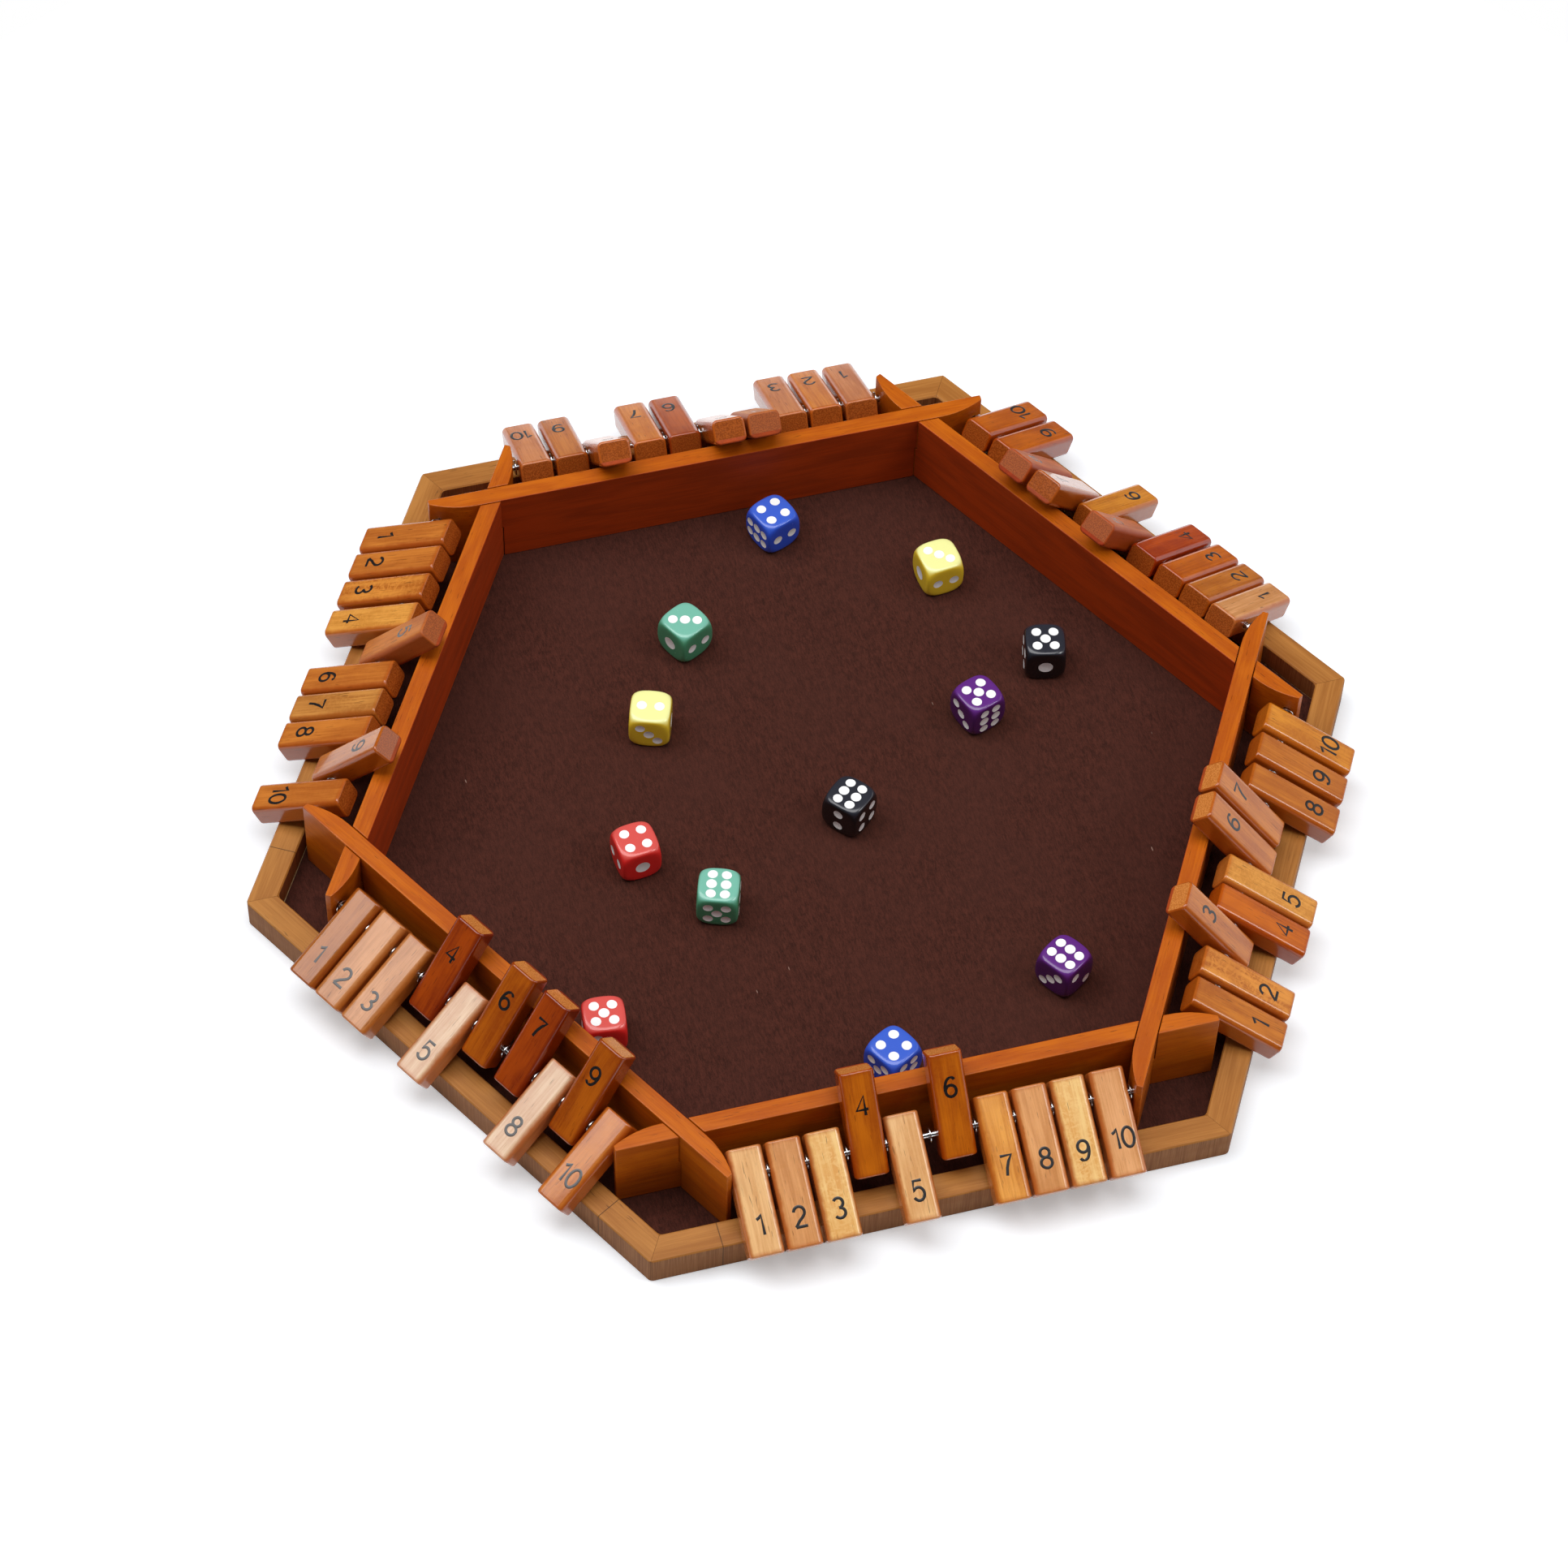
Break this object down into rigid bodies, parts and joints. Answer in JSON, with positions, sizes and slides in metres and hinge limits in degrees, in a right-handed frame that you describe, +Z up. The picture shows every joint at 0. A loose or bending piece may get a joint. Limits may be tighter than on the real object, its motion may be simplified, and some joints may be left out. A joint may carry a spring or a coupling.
{
  "type": "shut the box game",
  "caption": "Hexagonal wooden shut the box game with rows of numbered flip tiles on rods outside a felt-floored dice tray.",
  "frame": {"origin": "on the resting surface, under the middle of the hexagonal tray", "axes": "+Z up; +X towards the corner of the hexagon at the picture's right; -Y is the outward normal of the front side"},
  "size_m": [0.406, 0.3718, 0.05],
  "materials": {
    "rim_wood": "stained wood with satin varnish",
    "board_wood": "plain thin board",
    "wall_wood": "stained wood with satin varnish",
    "tile_wood": "stained wood with gloss varnish",
    "felt": "short felt",
    "steel": "bright steel rod and washers",
    "plastic_blue": "polished, with white sunk pips",
    "plastic_yellow": "polished, with white sunk pips",
    "plastic_black": "polished, with white sunk pips",
    "plastic_purple": "polished, with white sunk pips",
    "plastic_green": "polished, with white sunk pips",
    "plastic_red": "polished, with white sunk pips"
  },
  "bodies": {
    "tray": {"rim": "rim_wood", "board": "board_wood", "felt": "felt", "wall_front": "wall_wood", "wall_front_right": "wall_wood", "wall_back_right": "wall_wood", "wall_back": "wall_wood", "wall_back_left": "wall_wood", "wall_front_left": "wall_wood", "rod_front": "steel", "rod_front_right": "steel", "rod_back_right": "steel", "rod_back": "steel", "rod_back_left": "steel", "rod_front_left": "steel"},
    "tiles_front_1_to_3": {"tiles_front_1_to_3": "tile_wood"},
    "tile_front_4": {"tile_front_4": "tile_wood"},
    "tile_front_5": {"tile_front_5": "tile_wood"},
    "tile_front_6": {"tile_front_6": "tile_wood"},
    "tiles_front_7_to_10": {"tiles_front_7_to_10": "tile_wood"},
    "tiles_front_right_1_to_2": {"tiles_front_right_1_to_2": "tile_wood"},
    "tile_front_right_3": {"tile_front_right_3": "tile_wood"},
    "tiles_front_right_4_to_5": {"tiles_front_right_4_to_5": "tile_wood"},
    "tiles_front_right_6_to_7": {"tiles_front_right_6_to_7": "tile_wood"},
    "tiles_front_right_8_to_10": {"tiles_front_right_8_to_10": "tile_wood"},
    "tiles_back_right_1_to_4": {"tiles_back_right_1_to_4": "tile_wood"},
    "tile_back_right_5": {"tile_back_right_5": "tile_wood"},
    "tile_back_right_6": {"tile_back_right_6": "tile_wood"},
    "tiles_back_right_7_to_8": {"tiles_back_right_7_to_8": "tile_wood"},
    "tiles_back_right_9_to_10": {"tiles_back_right_9_to_10": "tile_wood"},
    "tiles_back_1_to_3": {"tiles_back_1_to_3": "tile_wood"},
    "tiles_back_4_to_5": {"tiles_back_4_to_5": "tile_wood"},
    "tiles_back_6_to_7": {"tiles_back_6_to_7": "tile_wood"},
    "tile_back_8": {"tile_back_8": "tile_wood"},
    "tiles_back_9_to_10": {"tiles_back_9_to_10": "tile_wood"},
    "tiles_back_left_1_to_4": {"tiles_back_left_1_to_4": "tile_wood"},
    "tile_back_left_5": {"tile_back_left_5": "tile_wood"},
    "tiles_back_left_6_to_8": {"tiles_back_left_6_to_8": "tile_wood"},
    "tile_back_left_9": {"tile_back_left_9": "tile_wood"},
    "tile_back_left_10": {"tile_back_left_10": "tile_wood"},
    "tiles_front_left_1_to_3": {"tiles_front_left_1_to_3": "tile_wood"},
    "tile_front_left_4": {"tile_front_left_4": "tile_wood"},
    "tile_front_left_5": {"tile_front_left_5": "tile_wood"},
    "tiles_front_left_6_to_7": {"tiles_front_left_6_to_7": "tile_wood"},
    "tile_front_left_8": {"tile_front_left_8": "tile_wood"},
    "tile_front_left_9": {"tile_front_left_9": "tile_wood"},
    "tile_front_left_10": {"tile_front_left_10": "tile_wood"},
    "die_blue_back": {"die_blue_back": "plastic_blue"},
    "die_yellow_back": {"die_yellow_back": "plastic_yellow"},
    "die_black_right": {"die_black_right": "plastic_black"},
    "die_purple_right": {"die_purple_right": "plastic_purple"},
    "die_green_back": {"die_green_back": "plastic_green"},
    "die_yellow_left": {"die_yellow_left": "plastic_yellow"},
    "die_black_middle": {"die_black_middle": "plastic_black"},
    "die_red_left": {"die_red_left": "plastic_red"},
    "die_green_front": {"die_green_front": "plastic_green"},
    "die_red_front": {"die_red_front": "plastic_red"},
    "die_purple_front": {"die_purple_front": "plastic_purple"},
    "die_blue_front": {"die_blue_front": "plastic_blue"}
  },
  "joints": [
    {"name": "tiles_front_1_to_3_hinge", "type": "hinge", "parent": "tray", "child": "tiles_front_1_to_3", "pos_m": [0, -0.15869, 0.0261], "axis": [-1, 0, 0], "range_deg": [0, 159.05]},
    {"name": "tile_front_4_hinge", "type": "hinge", "parent": "tray", "child": "tile_front_4", "pos_m": [0, -0.15869, 0.0261], "axis": [-1, 0, 0], "range_deg": [-159.05, 0]},
    {"name": "tile_front_5_hinge", "type": "hinge", "parent": "tray", "child": "tile_front_5", "pos_m": [0, -0.15869, 0.0261], "axis": [-1, 0, 0], "range_deg": [0, 159.05]},
    {"name": "tile_front_6_hinge", "type": "hinge", "parent": "tray", "child": "tile_front_6", "pos_m": [0, -0.15869, 0.0261], "axis": [-1, 0, 0], "range_deg": [-159.05, 0]},
    {"name": "tiles_front_7_to_10_hinge", "type": "hinge", "parent": "tray", "child": "tiles_front_7_to_10", "pos_m": [0, -0.15869, 0.0261], "axis": [-1, 0, 0], "range_deg": [0, 159.05]},
    {"name": "tiles_front_right_1_to_2_hinge", "type": "hinge", "parent": "tray", "child": "tiles_front_right_1_to_2", "pos_m": [0.13743, -0.07934, 0.0261], "axis": [-0.5, -0.866, 0], "range_deg": [0, 159.05]},
    {"name": "tile_front_right_3_hinge", "type": "hinge", "parent": "tray", "child": "tile_front_right_3", "pos_m": [0.13743, -0.07934, 0.0261], "axis": [-0.5, -0.866, 0], "range_deg": [-159.05, 0]},
    {"name": "tiles_front_right_4_to_5_hinge", "type": "hinge", "parent": "tray", "child": "tiles_front_right_4_to_5", "pos_m": [0.13743, -0.07934, 0.0261], "axis": [-0.5, -0.866, 0], "range_deg": [0, 159.05]},
    {"name": "tiles_front_right_6_to_7_hinge", "type": "hinge", "parent": "tray", "child": "tiles_front_right_6_to_7", "pos_m": [0.13743, -0.07934, 0.0261], "axis": [-0.5, -0.866, 0], "range_deg": [-159.05, 0]},
    {"name": "tiles_front_right_8_to_10_hinge", "type": "hinge", "parent": "tray", "child": "tiles_front_right_8_to_10", "pos_m": [0.13743, -0.07934, 0.0261], "axis": [-0.5, -0.866, 0], "range_deg": [0, 159.05]},
    {"name": "tiles_back_right_1_to_4_hinge", "type": "hinge", "parent": "tray", "child": "tiles_back_right_1_to_4", "pos_m": [0.13743, 0.07934, 0.0261], "axis": [0.5, -0.866, 0], "range_deg": [0, 159.05]},
    {"name": "tile_back_right_5_hinge", "type": "hinge", "parent": "tray", "child": "tile_back_right_5", "pos_m": [0.13743, 0.07934, 0.0261], "axis": [0.5, -0.866, 0], "range_deg": [-159.05, 0]},
    {"name": "tile_back_right_6_hinge", "type": "hinge", "parent": "tray", "child": "tile_back_right_6", "pos_m": [0.13743, 0.07934, 0.0261], "axis": [0.5, -0.866, 0], "range_deg": [0, 159.05]},
    {"name": "tiles_back_right_7_to_8_hinge", "type": "hinge", "parent": "tray", "child": "tiles_back_right_7_to_8", "pos_m": [0.13743, 0.07934, 0.0261], "axis": [0.5, -0.866, 0], "range_deg": [-159.05, 0]},
    {"name": "tiles_back_right_9_to_10_hinge", "type": "hinge", "parent": "tray", "child": "tiles_back_right_9_to_10", "pos_m": [0.13743, 0.07934, 0.0261], "axis": [0.5, -0.866, 0], "range_deg": [0, 159.05]},
    {"name": "tiles_back_1_to_3_hinge", "type": "hinge", "parent": "tray", "child": "tiles_back_1_to_3", "pos_m": [0, 0.15869, 0.0261], "axis": [1, 0, 0], "range_deg": [0, 159.05]},
    {"name": "tiles_back_4_to_5_hinge", "type": "hinge", "parent": "tray", "child": "tiles_back_4_to_5", "pos_m": [0, 0.15869, 0.0261], "axis": [1, 0, 0], "range_deg": [-159.05, 0]},
    {"name": "tiles_back_6_to_7_hinge", "type": "hinge", "parent": "tray", "child": "tiles_back_6_to_7", "pos_m": [0, 0.15869, 0.0261], "axis": [1, 0, 0], "range_deg": [0, 159.05]},
    {"name": "tile_back_8_hinge", "type": "hinge", "parent": "tray", "child": "tile_back_8", "pos_m": [0, 0.15869, 0.0261], "axis": [1, 0, 0], "range_deg": [-159.05, 0]},
    {"name": "tiles_back_9_to_10_hinge", "type": "hinge", "parent": "tray", "child": "tiles_back_9_to_10", "pos_m": [0, 0.15869, 0.0261], "axis": [1, 0, 0], "range_deg": [0, 159.05]},
    {"name": "tiles_back_left_1_to_4_hinge", "type": "hinge", "parent": "tray", "child": "tiles_back_left_1_to_4", "pos_m": [-0.13743, 0.07934, 0.0261], "axis": [0.5, 0.866, 0], "range_deg": [0, 159.05]},
    {"name": "tile_back_left_5_hinge", "type": "hinge", "parent": "tray", "child": "tile_back_left_5", "pos_m": [-0.13743, 0.07934, 0.0261], "axis": [0.5, 0.866, 0], "range_deg": [-159.05, 0]},
    {"name": "tiles_back_left_6_to_8_hinge", "type": "hinge", "parent": "tray", "child": "tiles_back_left_6_to_8", "pos_m": [-0.13743, 0.07934, 0.0261], "axis": [0.5, 0.866, 0], "range_deg": [0, 159.05]},
    {"name": "tile_back_left_9_hinge", "type": "hinge", "parent": "tray", "child": "tile_back_left_9", "pos_m": [-0.13743, 0.07934, 0.0261], "axis": [0.5, 0.866, 0], "range_deg": [-159.05, 0]},
    {"name": "tile_back_left_10_hinge", "type": "hinge", "parent": "tray", "child": "tile_back_left_10", "pos_m": [-0.13743, 0.07934, 0.0261], "axis": [0.5, 0.866, 0], "range_deg": [0, 159.05]},
    {"name": "tiles_front_left_1_to_3_hinge", "type": "hinge", "parent": "tray", "child": "tiles_front_left_1_to_3", "pos_m": [-0.13743, -0.07934, 0.0261], "axis": [-0.5, 0.866, 0], "range_deg": [0, 159.05]},
    {"name": "tile_front_left_4_hinge", "type": "hinge", "parent": "tray", "child": "tile_front_left_4", "pos_m": [-0.13743, -0.07934, 0.0261], "axis": [-0.5, 0.866, 0], "range_deg": [-159.05, 0]},
    {"name": "tile_front_left_5_hinge", "type": "hinge", "parent": "tray", "child": "tile_front_left_5", "pos_m": [-0.13743, -0.07934, 0.0261], "axis": [-0.5, 0.866, 0], "range_deg": [0, 159.05]},
    {"name": "tiles_front_left_6_to_7_hinge", "type": "hinge", "parent": "tray", "child": "tiles_front_left_6_to_7", "pos_m": [-0.13743, -0.07934, 0.0261], "axis": [-0.5, 0.866, 0], "range_deg": [-159.05, 0]},
    {"name": "tile_front_left_8_hinge", "type": "hinge", "parent": "tray", "child": "tile_front_left_8", "pos_m": [-0.13743, -0.07934, 0.0261], "axis": [-0.5, 0.866, 0], "range_deg": [0, 159.05]},
    {"name": "tile_front_left_9_hinge", "type": "hinge", "parent": "tray", "child": "tile_front_left_9", "pos_m": [-0.13743, -0.07934, 0.0261], "axis": [-0.5, 0.866, 0], "range_deg": [-159.05, 0]},
    {"name": "tile_front_left_10_hinge", "type": "hinge", "parent": "tray", "child": "tile_front_left_10", "pos_m": [-0.13743, -0.07934, 0.0261], "axis": [-0.5, 0.866, 0], "range_deg": [0, 159.05]},
    {"name": "die_blue_back_lift", "type": "slide", "parent": "tray", "child": "die_blue_back", "axis": [0, 0, 1], "range_m": [0, 0.1]},
    {"name": "die_yellow_back_lift", "type": "slide", "parent": "tray", "child": "die_yellow_back", "axis": [0, 0, 1], "range_m": [0, 0.1]},
    {"name": "die_black_right_lift", "type": "slide", "parent": "tray", "child": "die_black_right", "axis": [0, 0, 1], "range_m": [0, 0.1]},
    {"name": "die_purple_right_lift", "type": "slide", "parent": "tray", "child": "die_purple_right", "axis": [0, 0, 1], "range_m": [0, 0.1]},
    {"name": "die_green_back_lift", "type": "slide", "parent": "tray", "child": "die_green_back", "axis": [0, 0, 1], "range_m": [0, 0.1]},
    {"name": "die_yellow_left_lift", "type": "slide", "parent": "tray", "child": "die_yellow_left", "axis": [0, 0, 1], "range_m": [0, 0.1]},
    {"name": "die_black_middle_lift", "type": "slide", "parent": "tray", "child": "die_black_middle", "axis": [0, 0, 1], "range_m": [0, 0.1]},
    {"name": "die_red_left_lift", "type": "slide", "parent": "tray", "child": "die_red_left", "axis": [0, 0, 1], "range_m": [0, 0.1]},
    {"name": "die_green_front_lift", "type": "slide", "parent": "tray", "child": "die_green_front", "axis": [0, 0, 1], "range_m": [0, 0.1]},
    {"name": "die_red_front_lift", "type": "slide", "parent": "tray", "child": "die_red_front", "axis": [0, 0, 1], "range_m": [0, 0.1]},
    {"name": "die_purple_front_lift", "type": "slide", "parent": "tray", "child": "die_purple_front", "axis": [0, 0, 1], "range_m": [0, 0.1]},
    {"name": "die_blue_front_lift", "type": "slide", "parent": "tray", "child": "die_blue_front", "axis": [0, 0, 1], "range_m": [0, 0.1]}
  ]
}
